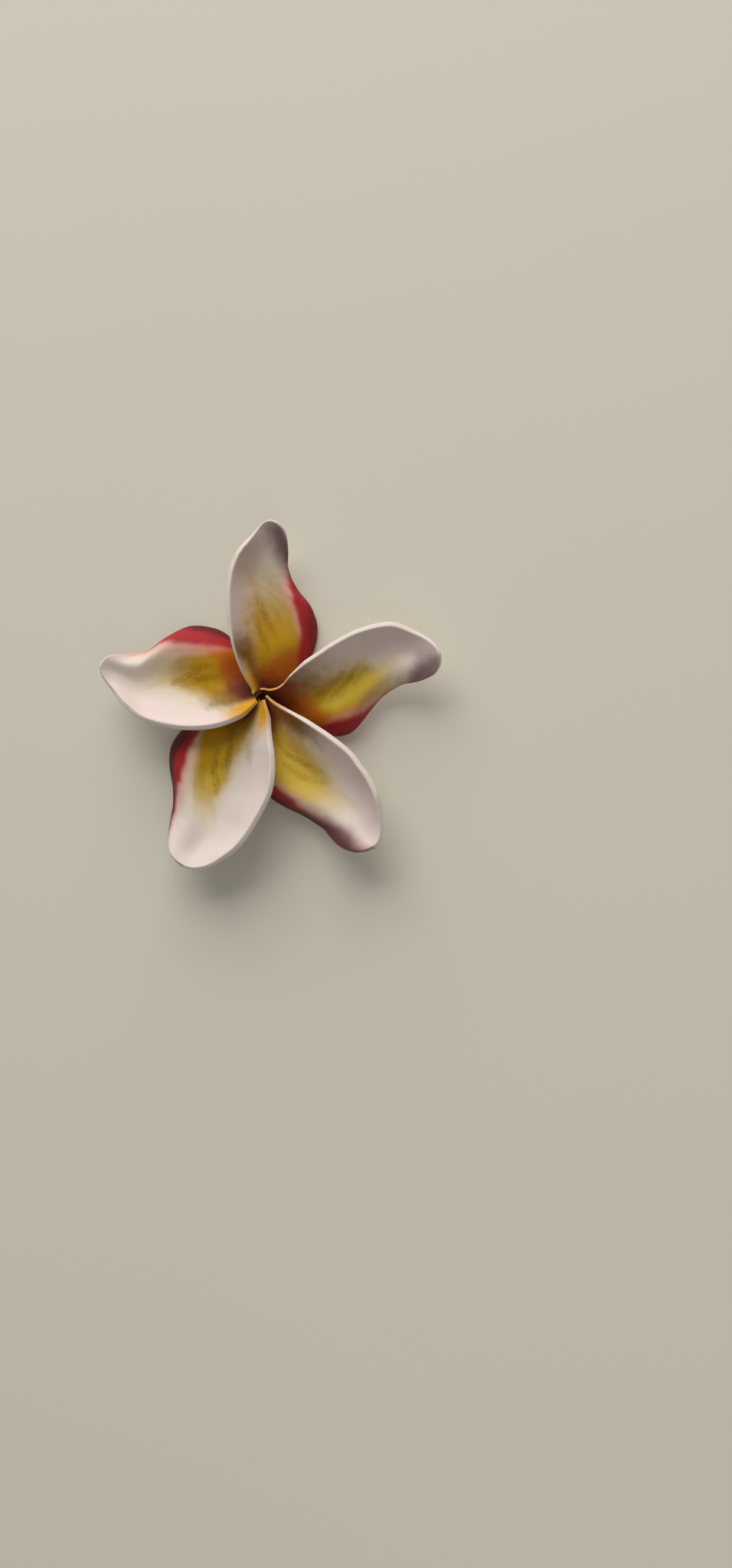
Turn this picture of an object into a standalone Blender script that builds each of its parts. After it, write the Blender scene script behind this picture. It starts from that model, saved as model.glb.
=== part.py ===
"""A frangipani blossom of formed craft foam, lying face up: five overlapping petals on a short tube.

Metres, +Z up through the face of the flower. The origin is on the flower's axis, at the surface it lies on.
Each petal is one sheet. Its rim, the counter-clockwise edge, stands up over the next petal round, and its
painted edge, the clockwise one, bulges into a lobe that rolls down under the petal before it.
"""

import math

import bmesh
import bpy
import numpy as np

MM = 0.001

# The foam sheet.
FOAM_THICKNESS = 2.0 * MM
BASE_THINNING = 0.5
THINNING_END = 9.0 * MM
BASE_RADIUS = 1.7 * MM
ROWS = 22
COLUMNS = 11

# From this share of its length on, a petal narrows as the end of an ellipse does. Its last row is this far
# round the ellipse's quarter, and this many of the rows are on it.
TIP_START = 0.80
TIP_TURN = math.radians(75)
TIP_ROWS = 0.3

# Shares of the petal's length at which its two edges are given.
STATIONS = (0.03, 0.055, 0.10, 0.20, 0.35, 0.50, 0.60, 0.66, 0.72, 0.80, 0.90, 1.00)

# For each petal: the bearing and length of its midline, the height in mm that it is pressed up by between the
# midline and the lobe, and the bearings of its rim and its painted edge from the midline, in degrees.
PETALS = {
    "petal_top": {
        "heading": 85.1, "length": 55.4, "ridge": 0.2,
        "rim": (70, 46, 40, 33, 24.5, 20.5, 18, 16.2, 14.5, 11.2, 7, 5),
        "lobe": (-60, -59, -57, -52, -45, -34, -23, -13.5, -9.2, -7, -7.2, -8),
    },
    "petal_left": {
        "heading": 169.3, "length": 53.4, "ridge": 2.6,
        "rim": (73, 71, 65, 53, 40.7, 31.3, 25.7, 22.7, 19.4, 13.6, 8.2, 6),
        "lobe": (-60, -59, -58, -56, -52, -46, -38.6, -32.6, -22.8, -11, -8, -9),
    },
    "petal_lower_left": {
        "heading": 245.6, "length": 59.9, "ridge": 2.4,
        "rim": (57, 53, 48, 40.5, 38, 33, 27.5, 24, 21, 17, 12.5, 10.5),
        "lobe": (-60, -59, -57, -54, -51, -47.5, -41, -32.2, -22.2, -15.4, -12, -11),
    },
    "petal_lower_right": {
        "heading": 308.2, "length": 61.5, "ridge": 1.7,
        "rim": (38, 24, 19.5, 21, 21.2, 20, 18.2, 16.4, 14.8, 12, 8.5, 6),
        "lobe": (-60, -59, -57, -53, -47, -40, -28, -21, -16.2, -12.4, -11, -10),
    },
    "petal_right": {
        "heading": 10.9, "length": 59.7, "ridge": 0.8,
        "rim": (60, 16, 7.5, 15.5, 17, 17.8, 17.4, 16.7, 15.6, 13.6, 9.7, 7.4),
        "lobe": (-60, -59, -57, -52, -46, -36, -18.5, -12.3, -9.3, -7.4, -7.8, -9.4),
    },
}

# Heights in mm along a petal: the midline's own, and the section's above or below it at each place across.
HEIGHT_STATIONS = (0.03, 0.10, 0.20, 0.35, 0.50, 0.65, 0.80, 0.92, 1.00)
MIDLINE = (8.2, 8.6, 8.7, 8.6, 8.7, 9.5, 11.0, 13.1, 15.2)
ACROSS = (-1.0, -0.5, 0.0, 0.5, 1.0)
SECTIONS = (
    (-3.0, -3.5, -5.0, -6.8, -7.4, -5.5, -2.6, -0.8, 0.0),
    (-1.5, -1.8, -1.6, -0.9, -0.6, -1.0, -1.2, -0.8, -0.3),
    (0.0, 0.0, 0.0, -0.6, -1.1, -1.2, -1.1, -0.8, -0.3),
    (1.7, 2.0, 2.2, 1.5, 0.9, 0.5, 0.2, 0.1, 0.0),
    (4.0, 5.0, 6.5, 8.0, 8.5, 7.5, 5.5, 3.0, 0.8),
)

# The ridge's share of its height along the petal, its place across and its half width.
RIDGE = (0.0, 0.0, 0.0, 0.25, 0.65, 1.0, 1.0, 0.6, 0.2)
RIDGE_PLACE = -0.4
RIDGE_HALF_WIDTH = 0.6

# Close to the axis the petals wind round each other like the blades of a fan: each climbs by CLIMB mm for a
# fifth of a turn, and past FAN_RADII it takes its own section.
CLIMB_RADII = (1.7, 6.0, 12.0, 24.0)
CLIMB = (3.0, 6.0, 9.0, 12.0)
FAN_RADII = (7.0, 20.0)

# The tube, as a turned profile from the rim of its top down to its flat foot.
TUBE_PROFILE = (
    (0.0, 3.2), (1.3, 3.5), (2.6, 3.2), (5.2, 2.4), (5.7, 1.9), (4.6, 0.6), (4.0, 0.0), (0.0, 0.0),
)
TUBE_STEPS = 40

PETAL_COLOUR = (0.83, 0.72, 0.68, 1.0)
TUBE_COLOUR = (0.80, 0.76, 0.62, 1.0)
FOAM_ROUGHNESS = 0.6


def smooth_through(places, values, at):
    """A curve through the given points that never overshoots them, read at the places asked for."""
    x, y, at = np.asarray(places, float), np.asarray(values, float), np.asarray(at, float)
    step = np.diff(x)
    slope = np.diff(y) / step
    tangent = np.zeros(len(x))
    before, after = slope[:-1], slope[1:]
    same_way = before * after > 0
    weight_a, weight_b = 2 * step[1:] + step[:-1], step[1:] + 2 * step[:-1]
    mean = np.zeros(len(before))
    mean[same_way] = (weight_a + weight_b)[same_way] / (
        weight_a[same_way] / before[same_way] + weight_b[same_way] / after[same_way]
    )
    tangent[1:-1] = mean
    tangent[0], tangent[-1] = slope[0], slope[-1]
    i = np.clip(np.searchsorted(x, at) - 1, 0, len(step) - 1)
    t = np.clip((at - x[i]) / step[i], 0.0, 1.0)
    rise = t * t * (3 - 2 * t)
    return (
        y[i] * (1 - rise) + y[i + 1] * rise
        + step[i] * (tangent[i] * t * (1 - t) ** 2 - tangent[i + 1] * t * t * (1 - t))
    )


def ease(start, end, at):
    """0 before start, 1 after end, smooth between."""
    t = np.clip((at - start) / (end - start), 0.0, 1.0)
    return t * t * (3 - 2 * t)


def tip_width(share):
    """How much of a petal's width is left at a share of its length."""
    past = np.clip((share - TIP_START) / (1 - TIP_START), 0.0, 1.0)
    return np.sqrt(1 - past * past)


def bearings(petal, share, across):
    """The bearing from the petal's midline, in degrees."""
    width = tip_width(share)
    rim = smooth_through(STATIONS, petal["rim"], share) * width
    lobe = smooth_through(STATIONS, petal["lobe"], share) * width
    return lobe + (rim - lobe) * (across + 1) / 2


def section_height(petal, share, across):
    """Height above the midline in mm: a quartic through the five section lines, and the ridge.

    Towards the tip the sections stay as wide as they were, and the ellipse cuts them off.
    """
    across = across * tip_width(share)
    lines = [smooth_through(HEIGHT_STATIONS, line, share) for line in SECTIONS]
    degree = len(ACROSS) - 1
    quartic = np.linalg.solve(np.vander(ACROSS), np.array(lines))
    powers = np.array([across ** (degree - k) for k in range(degree + 1)])
    away = np.clip((across - RIDGE_PLACE) / RIDGE_HALF_WIDTH, -1.0, 1.0)
    ridge = petal["ridge"] * smooth_through(HEIGHT_STATIONS, RIDGE, share) * np.cos(away * math.pi / 2) ** 2
    return (quartic * powers).sum(axis=0) + ridge


def petal_points(petal, share, across):
    """Points of the petal's upper face, in mm."""
    radius = share * petal["length"]
    bearing = bearings(petal, share, across)
    fan = bearing / 72 * smooth_through(CLIMB_RADII, CLIMB, radius)
    own = section_height(petal, share, across)
    blend = ease(*FAN_RADII, radius)
    height = smooth_through(HEIGHT_STATIONS, MIDLINE, share) + fan * (1 - blend) + own * blend
    turn = np.radians(petal["heading"] + bearing)
    return np.stack([radius * np.cos(turn), radius * np.sin(turn), height], axis=-1)


def row_share(t, first):
    """Rows lie closer together at the base, and follow the ellipse round at the tip."""
    along = np.clip(t / (1 - TIP_ROWS), 0.0, 1.0)
    body = first + (TIP_START - first) * (0.6 * along + 0.4 * along * along)
    round_tip = np.clip((t - 1 + TIP_ROWS) / TIP_ROWS, 0.0, 1.0)
    return body + (1 - TIP_START) * np.sin(TIP_TURN * round_tip)


def foam_material(name, colour):
    material = bpy.data.materials.new(name)
    material.use_nodes = True
    shader = material.node_tree.nodes["Principled BSDF"]
    shader.inputs["Base Color"].default_value = colour
    shader.inputs["Roughness"].default_value = FOAM_ROUGHNESS
    shader.inputs["Metallic"].default_value = 0.0
    return material


def make_petal(name, petal, collection):
    """One sheet: a grid laid on the petal's upper face, given the foam's thickness below it."""
    sheet = bmesh.new()
    bmesh.ops.create_grid(sheet, x_segments=COLUMNS, y_segments=ROWS, size=1.0)
    across = np.array([v.co.x for v in sheet.verts])
    along = np.array([(v.co.y + 1) / 2 for v in sheet.verts])
    share = row_share(along, BASE_RADIUS / MM / petal["length"])
    points = petal_points(petal, share, across) * MM
    for vert, point in zip(sheet.verts, points):
        vert.co = point
    bmesh.ops.reverse_faces(sheet, faces=sheet.faces)
    mesh = bpy.data.meshes.new(name)
    sheet.to_mesh(mesh)
    sheet.free()
    mesh.shade_smooth()
    mesh.materials.append(foam_material(name + "_foam", PETAL_COLOUR))
    body = bpy.data.objects.new(name, mesh)
    collection.objects.link(body)
    foam = body.vertex_groups.new(name="foam")
    for vert, weight in zip(mesh.vertices, ease(BASE_RADIUS, THINNING_END, np.hypot(*points.T[:2]))):
        foam.add([vert.index], float(weight), "REPLACE")
    solid = body.modifiers.new("foam", "SOLIDIFY")
    solid.thickness = FOAM_THICKNESS
    solid.offset = -1.0
    solid.vertex_group = foam.name
    solid.thickness_vertex_group = BASE_THINNING
    return body


def make_tube(collection):
    """The stub that the petal bases sit on, turned from its profile."""
    mesh = bpy.data.meshes.new("corolla_tube")
    edges = [(k, k + 1) for k in range(len(TUBE_PROFILE) - 1)]
    mesh.from_pydata([(r * MM, 0.0, z * MM) for r, z in TUBE_PROFILE], edges, [])
    mesh.materials.append(foam_material("corolla_tube_foam", TUBE_COLOUR))
    body = bpy.data.objects.new("corolla_tube", mesh)
    collection.objects.link(body)
    screw = body.modifiers.new("turned", "SCREW")
    screw.steps = screw.render_steps = TUBE_STEPS
    screw.use_merge_vertices = True
    screw.merge_threshold = 0.01 * MM
    screw.use_smooth_shade = True
    return body


def main():
    for old in list(bpy.data.objects):
        bpy.data.objects.remove(old)
    collection = bpy.data.collections.new("frangipani_flower")
    bpy.context.scene.collection.children.link(collection)
    for name, petal in PETALS.items():
        make_petal(name, petal, collection)
    make_tube(collection)


main()
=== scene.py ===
"""The looks of a frangipani hair flower, formed from airbrushed foam and lying face up on a pale floor.

Each petal is a finely meshed sheet laid out by the petal's rule, given the foam's thickness, its rounded,
rough cut edge and its slight waviness by Geometry Nodes, and painted by a material that reads where on the
petal it is.
"""

import math

import bmesh
import bpy
import numpy as np
from mathutils import Matrix, Vector


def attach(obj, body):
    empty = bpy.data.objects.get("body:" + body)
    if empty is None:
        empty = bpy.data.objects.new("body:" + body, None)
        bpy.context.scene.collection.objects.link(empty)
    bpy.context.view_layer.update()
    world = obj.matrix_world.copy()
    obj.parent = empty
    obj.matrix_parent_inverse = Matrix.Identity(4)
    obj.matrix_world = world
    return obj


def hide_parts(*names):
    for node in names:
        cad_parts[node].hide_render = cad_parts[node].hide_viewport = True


bl_info = {
    "name": "Foam Frangipani",
    "version": (1, 0, 0),
    "blender": (4, 5, 0),
    "location": "View3D > Sidebar > Frangipani",
    "description": "Makes an airbrushed foam frangipani blossom around its solid parts",
    "category": "Object",
}

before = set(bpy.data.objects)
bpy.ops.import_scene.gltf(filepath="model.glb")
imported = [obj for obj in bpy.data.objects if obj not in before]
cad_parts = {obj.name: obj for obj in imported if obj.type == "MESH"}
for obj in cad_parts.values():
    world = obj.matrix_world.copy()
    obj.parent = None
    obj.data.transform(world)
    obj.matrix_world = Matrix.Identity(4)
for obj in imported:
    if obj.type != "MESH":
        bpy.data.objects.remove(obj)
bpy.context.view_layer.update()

MM = 0.001


def tone(red, green, blue):
    """A linear colour from the three 0-255 values of a display colour."""
    shown = (red / 255, green / 255, blue / 255)
    return tuple(c / 12.92 if c <= 0.04045 else ((c + 0.055) / 1.055) ** 2.4 for c in shown)


# --------------------------------------------------------------------------------------------------
# The petal's rule
# --------------------------------------------------------------------------------------------------

# In mm: where a sheet starts from the axis, and where it has reached its full thickness and forming.
BASE_RADIUS = 1.7
FORMED_FROM = 9.0

# From this share of its length on, a petal narrows as the end of an ellipse does.
TIP_START = 0.80
TIP_TURN = math.radians(87.5)
TIP_ROWS = 0.22
ROWS = 210
COLUMNS = 72
WALL_LAYERS = 8

# Shares of the petal's length at which its two edges are given.
STATIONS = (0.03, 0.055, 0.10, 0.20, 0.35, 0.50, 0.60, 0.66, 0.72, 0.80, 0.90, 1.00)

# For each petal: the bearing in degrees and length in mm of its midline, the height in mm of its ridge, and
# the bearings of its rim and its painted edge from the midline, in degrees.
PETALS = {
    "petal_top": {
        "heading": 85.1, "length": 55.4, "ridge": 0.2,
        "rim": (70, 46, 40, 33, 24.5, 20.5, 18, 16.2, 14.5, 11.2, 7, 5),
        "lobe": (-60, -59, -57, -52, -45, -34, -23, -13.5, -9.2, -7, -7.2, -8),
    },
    "petal_left": {
        "heading": 169.3, "length": 53.4, "ridge": 2.6,
        "rim": (73, 71, 65, 53, 40.7, 31.3, 25.7, 22.7, 19.4, 13.6, 8.2, 6),
        "lobe": (-60, -59, -58, -56, -52, -46, -38.6, -32.6, -22.8, -11, -8, -9),
    },
    "petal_lower_left": {
        "heading": 245.6, "length": 59.9, "ridge": 2.4,
        "rim": (57, 53, 48, 40.5, 38, 33, 27.5, 24, 21, 17, 12.5, 10.5),
        "lobe": (-60, -59, -57, -54, -51, -47.5, -41, -32.2, -22.2, -15.4, -12, -11),
    },
    "petal_lower_right": {
        "heading": 308.2, "length": 61.5, "ridge": 1.7,
        "rim": (38, 24, 19.5, 21, 21.2, 20, 18.2, 16.4, 14.8, 12, 8.5, 6),
        "lobe": (-60, -59, -57, -53, -47, -40, -28, -21, -16.2, -12.4, -11, -10),
    },
    "petal_right": {
        "heading": 10.9, "length": 59.7, "ridge": 0.8,
        "rim": (60, 16, 7.5, 15.5, 17, 17.8, 17.4, 16.7, 15.6, 13.6, 9.7, 7.4),
        "lobe": (-60, -59, -57, -52, -46, -36, -18.5, -12.3, -9.3, -7.4, -7.8, -9.4),
    },
}

# Heights in mm along a petal: the midline's own, and the section's above or below it at each place across.
HEIGHT_STATIONS = (0.03, 0.10, 0.20, 0.35, 0.50, 0.65, 0.80, 0.92, 1.00)
MIDLINE = (8.2, 8.6, 8.7, 8.6, 8.7, 9.5, 11.0, 13.1, 15.2)
ACROSS = (-1.0, -0.5, 0.0, 0.5, 1.0)
SECTIONS = (
    (-3.0, -3.5, -5.0, -6.8, -7.4, -5.5, -2.6, -0.8, 0.0),
    (-1.5, -1.8, -1.6, -0.9, -0.6, -1.0, -1.2, -0.8, -0.3),
    (0.0, 0.0, 0.0, -0.6, -1.1, -1.2, -1.1, -0.8, -0.3),
    (1.7, 2.0, 2.2, 1.5, 0.9, 0.5, 0.2, 0.1, 0.0),
    (4.0, 5.0, 6.5, 8.0, 8.5, 7.5, 5.5, 3.0, 0.8),
)
RIDGE = (0.0, 0.0, 0.0, 0.25, 0.65, 1.0, 1.0, 0.6, 0.2)
RIDGE_PLACE = -0.4
RIDGE_HALF_WIDTH = 0.6

# Near the axis a petal climbs round it like a fan's blade: by CLIMB mm for each PETAL_SPACING degrees, at the
# CLIMB_RADII in mm. Between the two FAN_RADII this gives way to the sections.
PETAL_SPACING = 72
CLIMB_RADII = (1.7, 6.0, 12.0, 24.0)
CLIMB = (3.0, 6.0, 9.0, 12.0)
FAN_RADII = (7.0, 20.0)


def smooth_through(places, values, at):
    """A curve through the given points that never overshoots them, read at the places asked for."""
    x, y, at = np.asarray(places, float), np.asarray(values, float), np.asarray(at, float)
    step = np.diff(x)
    slope = np.diff(y) / step
    tangent = np.zeros(len(x))
    before, after = slope[:-1], slope[1:]
    same_way = before * after > 0
    weight_a, weight_b = 2 * step[1:] + step[:-1], step[1:] + 2 * step[:-1]
    mean = np.zeros(len(before))
    mean[same_way] = (weight_a + weight_b)[same_way] / (
        weight_a[same_way] / before[same_way] + weight_b[same_way] / after[same_way]
    )
    tangent[1:-1] = mean
    tangent[0], tangent[-1] = slope[0], slope[-1]
    i = np.clip(np.searchsorted(x, at) - 1, 0, len(step) - 1)
    t = np.clip((at - x[i]) / step[i], 0.0, 1.0)
    rise = t * t * (3 - 2 * t)
    return (
        y[i] * (1 - rise) + y[i + 1] * rise
        + step[i] * (tangent[i] * t * (1 - t) ** 2 - tangent[i + 1] * t * t * (1 - t))
    )


def ease(start, end, at):
    """0 before start, 1 after end, smooth between."""
    t = np.clip((at - start) / (end - start), 0.0, 1.0)
    return t * t * (3 - 2 * t)


def tip_width(share):
    """How much of a petal's width is left at a share of its length."""
    past = np.clip((share - TIP_START) / (1 - TIP_START), 0.0, 1.0)
    return np.sqrt(1 - past * past)


def edge_bearings(petal, share):
    """The bearings of the rim and of the lobe's edge from the petal's midline, in degrees."""
    width = tip_width(share)
    rim, lobe = (smooth_through(STATIONS, petal[side], share) for side in ("rim", "lobe"))
    return rim * width, lobe * width


def half_width(petal, share):
    """Half the petal's width in mm, measured round the arc."""
    rim, lobe = edge_bearings(petal, share)
    return share * petal["length"] * np.radians(rim - lobe) / 2


def petal_points(petal, share, across):
    """Points of the petal's upper face, in mm."""
    radius = share * petal["length"]
    rim, lobe = edge_bearings(petal, share)
    bearing = lobe + (rim - lobe) * (across + 1) / 2
    across = across * tip_width(share)
    fan = bearing / PETAL_SPACING * smooth_through(CLIMB_RADII, CLIMB, radius)
    lines = np.array([smooth_through(HEIGHT_STATIONS, line, share) for line in SECTIONS])
    quartic = np.linalg.solve(np.vander(ACROSS), lines)
    powers = np.array([across ** (len(ACROSS) - 1 - k) for k in range(len(ACROSS))])
    away = np.clip((across - RIDGE_PLACE) / RIDGE_HALF_WIDTH, -1.0, 1.0)
    ridge = petal["ridge"] * smooth_through(HEIGHT_STATIONS, RIDGE, share) * np.cos(away * math.pi / 2) ** 2
    own = (quartic * powers).sum(axis=0) + ridge
    blend = ease(*FAN_RADII, radius)
    height = smooth_through(HEIGHT_STATIONS, MIDLINE, share) + fan * (1 - blend) + own * blend
    turn = np.radians(petal["heading"] + bearing)
    return np.stack([radius * np.cos(turn), radius * np.sin(turn), height], axis=-1)


def row_shares(first):
    """The rows' shares of the petal's length: even, and following the ellipse round at the tip."""
    t = np.linspace(0.0, 1.0, ROWS + 1)
    body = first + (TIP_START - first) * np.clip(t / (1 - TIP_ROWS), 0.0, 1.0)
    round_tip = np.clip((t - 1 + TIP_ROWS) / TIP_ROWS, 0.0, 1.0)
    return body + (1 - TIP_START) * np.sin(TIP_TURN * round_tip)


def lay_sheet(name, petal):
    """The petal's upper face as a fine grid, with its own coordinates kept on every point."""
    share, across = np.meshgrid(
        row_shares(BASE_RADIUS / petal["length"]), np.linspace(-1.0, 1.0, COLUMNS + 1), indexing="ij"
    )
    flat_share, flat_across = share.ravel(), across.ravel()
    points = petal_points(petal, flat_share, flat_across)
    wide = COLUMNS + 1
    corner = (np.arange(ROWS)[:, None] * wide + np.arange(COLUMNS)).ravel()
    quads = np.stack([corner, corner + wide, corner + wide + 1, corner + 1], axis=-1)
    mesh = bpy.data.meshes.new(name)
    mesh.from_pydata((points * MM).tolist(), [], quads.tolist())
    half = half_width(petal, flat_share)
    grid = points.reshape(ROWS + 1, wide, 3)
    steps = np.linalg.norm(np.diff(grid, axis=0), axis=2)
    run = np.concatenate([np.zeros((1, wide)), np.cumsum(steps, axis=0)])
    values = {
        "along": flat_share,
        "across": flat_across,
        "half_width": half,
        "reach": flat_share * petal["length"],
        "edge_run": run.ravel() + (flat_across + 1) * half,
        "formed": ease(BASE_RADIUS, FORMED_FROM, flat_share * petal["length"]),
    }
    for key, numbers in values.items():
        layer = mesh.attributes.new(key, "FLOAT", "POINT")
        layer.data.foreach_set("value", np.asarray(numbers, np.float32))
    flat = mesh.attributes.new("flat", "FLOAT_VECTOR", "POINT")
    place = np.stack([flat_share * petal["length"], flat_across * half, np.zeros_like(half)], axis=-1)
    flat.data.foreach_set("vector", place.astype(np.float32).ravel())
    mesh.update()
    return mesh


# --------------------------------------------------------------------------------------------------
# Building node trees
# --------------------------------------------------------------------------------------------------


class Wiring:
    """Adds nodes to one tree and joins them up."""

    def __init__(self, tree):
        self.tree = tree

    def feed(self, socket, value):
        if isinstance(value, bpy.types.NodeSocket):
            self.tree.links.new(value, socket)
        elif value is not None:
            if socket.type == "RGBA" and len(value) == 3:
                value = (*value, 1.0)
            socket.default_value = value

    def add(self, kind, *values, named=None, **settings):
        node = self.tree.nodes.new(kind)
        for key, value in settings.items():
            setattr(node, key, value)
        for socket, value in zip(node.inputs, values):
            self.feed(socket, value)
        for key, value in (named or {}).items():
            self.feed(node.inputs[key], value)
        return node

    def math(self, operation, *values, clamp=False):
        return self.add("ShaderNodeMath", *values, operation=operation, use_clamp=clamp).outputs[0]

    def vector(self, operation, *values, scale=None):
        node = self.add("ShaderNodeVectorMath", *values, operation=operation)
        if scale is not None:
            self.feed(node.inputs["Scale"], scale)
        return node.outputs["Value" if operation in ("DOT_PRODUCT", "LENGTH") else "Vector"]

    def ramp(self, value, start, end, low=0.0, high=1.0, kind="SMOOTHSTEP"):
        node = self.add("ShaderNodeMapRange", value, start, end, low, high, interpolation_type=kind)
        return node.outputs[0]

    def noise(self, vector, scale, detail=2.0, roughness=0.5, seed=None):
        named = {"Vector": vector, "Scale": scale, "Detail": detail, "Roughness": roughness}
        if seed is None:
            return self.add("ShaderNodeTexNoise", named=named).outputs[0]
        return self.add("ShaderNodeTexNoise", named={**named, "W": seed}, noise_dimensions="4D").outputs[0]

    def attribute(self, name, output="Fac"):
        return self.add("ShaderNodeAttribute", attribute_name=name).outputs[output]

    def mix(self, factor, a, b, blend="MIX"):
        node = self.tree.nodes.new("ShaderNodeMix")
        node.data_type, node.blend_type = "RGBA", blend
        for socket, value in zip((node.inputs[0], node.inputs[6], node.inputs[7]), (factor, a, b)):
            self.feed(socket, value)
        return node.outputs[2]

    def stored(self, name, kind="FLOAT"):
        return self.add("GeometryNodeInputNamedAttribute", name, data_type=kind).outputs["Attribute"]

    def store(self, geometry, name, value, kind="FLOAT", domain="POINT", only=None):
        node = self.add(
            "GeometryNodeStoreNamedAttribute", geometry, only, name, value, data_type=kind, domain=domain
        )
        return node.outputs[0]


def group_tree(name, kind, inputs, outputs):
    """An empty node group with its sockets, and the nodes that stand for them."""
    tree = bpy.data.node_groups.new(name, kind)
    for side, sockets in (("INPUT", inputs), ("OUTPUT", outputs)):
        for label, socket_type, *rest in sockets:
            socket = tree.interface.new_socket(label, in_out=side, socket_type="NodeSocket" + socket_type)
            if rest:
                socket.default_value = rest[0]
    return tree, tree.nodes.new("NodeGroupInput").outputs, tree.nodes.new("NodeGroupOutput").inputs


# --------------------------------------------------------------------------------------------------
# The formed sheet: thickness, cut edge and waviness
# --------------------------------------------------------------------------------------------------


# The spacing in mm of the marks across the cut edge, and how square its rounded section is.
CUT_SPACING = 0.8
EDGE_SQUARENESS = 2.6
CRUMBS_PER_METRE = 2200.0
WELD_DISTANCE = 0.002 * MM


def formed_sheet_tree():
    """Turns a single-sided sheet into foam of a given thickness with a rounded, slightly rough cut edge."""
    tree, given, result = group_tree(
        "formed_foam_sheet", "GeometryNodeTree",
        (
            ("Sheet", "Geometry"),
            ("Thickness", "Float", 2.0 * MM),
            ("Base Thinning", "Float", 0.5),
            ("Edge Bulge", "Float", 0.3 * MM),
            ("Cut Roughness", "Float", 0.1 * MM),
            ("Cut Spacing", "Float", CUT_SPACING),
            ("Waviness", "Float", 0.3 * MM),
            ("Wave Length", "Float", 12.0 * MM),
            ("Layers", "Int", WALL_LAYERS),
            ("Seed", "Int", 1),
            ("Foam", "Material"),
        ),
        (("Body", "Geometry"),),
    )
    w = Wiring(tree)
    position = w.add("GeometryNodeInputPosition").outputs[0]
    normal = w.add("GeometryNodeInputNormal").outputs[0]
    formed = w.stored("formed")

    # Gentle unevenness over the whole face, none where the petals meet at the axis.
    spread = w.vector("SCALE", position, scale=w.math("DIVIDE", 1.0, given["Wave Length"]))
    swell = w.math("SUBTRACT", w.noise(spread, 1.0, 1.0, 0.4, seed=given["Seed"]), 0.5)
    rise = w.math("MULTIPLY", w.math("MULTIPLY", swell, given["Waviness"]), w.math("MULTIPLY", formed, 2.0))
    swelling = w.vector("SCALE", normal, scale=rise)
    uneven = w.add("GeometryNodeSetPosition", given["Sheet"], named={"Offset": swelling})
    face = w.store(uneven.outputs[0], "face_up", normal, kind="FLOAT_VECTOR")
    face = w.store(face, "depth", 0.0)
    face = w.store(face, "skin", True, kind="BOOLEAN", domain="FACE")

    # The foam's thickness, one layer after another, so the cut edge has points to be shaped by.
    thinned = w.ramp(formed, 0.0, 1.0, given["Base Thinning"], 1.0, kind="LINEAR")
    layer = w.math("DIVIDE", w.math("MULTIPLY", given["Thickness"], thinned), given["Layers"])
    begin = w.add("GeometryNodeRepeatInput")
    end = tree.nodes.new("GeometryNodeRepeatOutput")
    begin.pair_with_output(end)
    w.feed(begin.inputs["Iterations"], given["Layers"])
    w.feed(begin.inputs["Geometry"], w.add("GeometryNodeFlipFaces", face).outputs[0])
    down = w.vector("SCALE", w.stored("face_up", "FLOAT_VECTOR"), scale=w.math("MULTIPLY", layer, -1.0))
    grown = w.add(
        "GeometryNodeExtrudeMesh", begin.outputs["Geometry"], w.stored("skin", "BOOLEAN"), down, 1.0, False,
        mode="FACES",
    )
    deeper = w.math("ADD", w.stored("depth"), w.math("DIVIDE", 1.0, given["Layers"]))
    body = w.store(grown.outputs["Mesh"], "depth", deeper, only=grown.outputs["Top"])
    body = w.store(body, "skin", grown.outputs["Top"], kind="BOOLEAN", domain="FACE")
    w.feed(end.inputs["Geometry"], body)
    join = w.add("GeometryNodeJoinGeometry")
    tree.links.new(end.outputs["Geometry"], join.inputs[0])
    tree.links.new(face, join.inputs[0])
    welded = w.add("GeometryNodeMergeByDistance", join.outputs[0], named={"Distance": WELD_DISTANCE})
    closed = welded.outputs[0]

    # The cut edge: full in the middle, rounded at both corners, with fine marks across it.
    depth = w.stored("depth")
    centre = w.math("ABSOLUTE", w.math("SUBTRACT", w.math("MULTIPLY", depth, 2.0), 1.0))
    hollow = w.math("SUBTRACT", 1.0, w.math("POWER", centre, EDGE_SQUARENESS))
    fullness = w.math("POWER", hollow, 1 / EDGE_SQUARENESS)
    run = w.math("DIVIDE", w.stored("edge_run"), given["Cut Spacing"])
    marks = w.add("ShaderNodeCombineXYZ", run, w.math("MULTIPLY", depth, 0.7), 0.0)
    scored = w.math("SUBTRACT", w.noise(marks.outputs[0], 1.0, 3.0, 0.6, seed=given["Seed"]), 0.5)
    crumb_place = w.vector("SCALE", position, scale=CRUMBS_PER_METRE)
    crumbs = w.math("SUBTRACT", w.noise(crumb_place, 1.0, 2.0, 0.6, seed=given["Seed"]), 0.5)
    rough = w.math("MULTIPLY", w.math("ADD", scored, crumbs), w.math("MULTIPLY", given["Cut Roughness"], 2.0))
    out = w.math("MULTIPLY", w.math("MULTIPLY", w.math("ADD", given["Edge Bulge"], rough), fullness), formed)
    between_faces = 0.5 - 0.25 / WALL_LAYERS
    inside = w.math("COMPARE", depth, 0.5, between_faces)
    shaped = w.add(
        "GeometryNodeSetPosition", closed, inside, named={"Offset": w.vector("SCALE", normal, scale=out)}
    ).outputs[0]
    smooth = w.add("GeometryNodeSetShadeSmooth", shaped, True, True).outputs[0]
    real = w.add("GeometryNodeRealizeInstances", smooth).outputs[0]
    finished = w.add("GeometryNodeSetMaterial", real, True, given["Foam"]).outputs[0]
    w.feed(result["Body"], finished)
    return tree


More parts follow.
